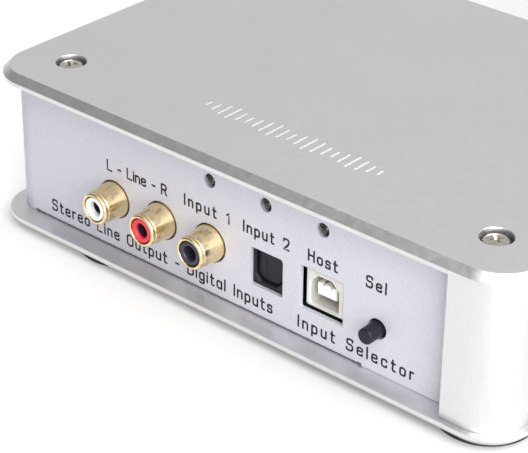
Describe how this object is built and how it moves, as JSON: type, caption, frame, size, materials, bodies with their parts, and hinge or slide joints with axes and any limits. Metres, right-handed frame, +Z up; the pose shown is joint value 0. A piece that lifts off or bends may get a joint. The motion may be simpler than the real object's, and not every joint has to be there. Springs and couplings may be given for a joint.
{
  "type": "desktop dac",
  "caption": "Compact desktop audio converter: rounded plates over metal walls, with phono, optical and USB sockets and a push button on its rear panel.",
  "frame": {"origin": "on the surface the feet stand on, under the middle of the box around the object", "axes": "+Z up, -Y out of the panel with the sockets, +X to the right as seen facing that panel"},
  "size_m": [0.166, 0.1216, 0.0459],
  "materials": {
    "plate_aluminium": "satin, fine bead-blasted",
    "wrap_aluminium": "satin, fine upright grain",
    "panel_paint": "silver metallic paint, finely speckled",
    "screw_nickel": "nickel plated",
    "post_aluminium": "machined",
    "foot_rubber": "matte",
    "jack_gold": "gold plated, bright",
    "insert_white": "moulded",
    "insert_red": "moulded",
    "insert_black": "moulded",
    "black_plastic": "moulded",
    "usb_steel": "nickel plated",
    "contact_gold": "gold plated",
    "lamp_lens": "tinted lens",
    "board_green": "solder mask",
    "chip_black": "moulded",
    "crystal_steel": "drawn can",
    "capacitor_sleeve": "sleeve",
    "ribbon_grey": "flat cable"
  },
  "bodies": {
    "body": {"board_screw_front_left": "screw_nickel", "board_screw_front_right": "screw_nickel", "board_screw_rear_left": "screw_nickel", "board_screw_rear_right": "screw_nickel", "board_standoff_front_left": "post_aluminium", "board_standoff_front_right": "post_aluminium", "board_standoff_rear_left": "post_aluminium", "board_standoff_rear_right": "post_aluminium", "bottom_plate": "plate_aluminium", "capacitor_left": "capacitor_sleeve", "capacitor_right": "capacitor_sleeve", "coaxial_barrel": "jack_gold", "coaxial_contact": "contact_gold", "coaxial_insulator": "insert_black", "coaxial_lamp": "lamp_lens", "corner_post_front_left": "post_aluminium", "corner_post_front_right": "post_aluminium", "corner_post_rear_left": "post_aluminium", "corner_post_rear_right": "post_aluminium", "crystal": "crystal_steel", "dac_chip": "chip_black", "foot_front_left": "foot_rubber", "foot_front_right": "foot_rubber", "foot_rear_left": "foot_rubber", "foot_rear_right": "foot_rubber", "jack_block": "black_plastic", "lamp_board": "board_green", "lamp_board_stud_left": "post_aluminium", "lamp_board_stud_right": "post_aluminium", "lamp_ribbon": "ribbon_grey", "left_out_barrel": "jack_gold", "left_out_contact": "contact_gold", "left_out_insulator": "insert_white", "main_board": "board_green", "optical_housing": "black_plastic", "optical_lamp": "lamp_lens", "optical_module": "chip_black", "rear_panel": "panel_paint", "receiver_chip": "chip_black", "right_out_barrel": "jack_gold", "right_out_contact": "contact_gold", "right_out_insulator": "insert_red", "side_wrap": "wrap_aluminium", "switch_body": "black_plastic", "top_plate": "plate_aluminium", "top_screw_front_left": "screw_nickel", "top_screw_front_right": "screw_nickel", "top_screw_rear_left": "screw_nickel", "top_screw_rear_right": "screw_nickel", "usb_contact_1": "contact_gold", "usb_contact_2": "contact_gold", "usb_contact_3": "contact_gold", "usb_contact_4": "contact_gold", "usb_insert": "insert_white", "usb_lamp": "lamp_lens", "usb_shell": "usb_steel"},
    "optical_shutter": {"optical_shutter": "black_plastic"},
    "switch_button": {"switch_button": "black_plastic"}
  },
  "joints": [
    {"name": "button_press", "type": "slide", "parent": "body", "child": "switch_button", "axis": [0, 1, 0], "range_m": [0, 0.0015], "stiffness_N_per_m": 400, "springref_m": -0.003},
    {"name": "shutter_swing", "type": "hinge", "parent": "body", "child": "optical_shutter", "pos_m": [0.0092, -0.05115, 0.02145], "axis": [1, 0, 0], "range_deg": [0, 80], "stiffness_Nm_per_rad": 0.002, "springref_deg": -20.05}
  ]
}
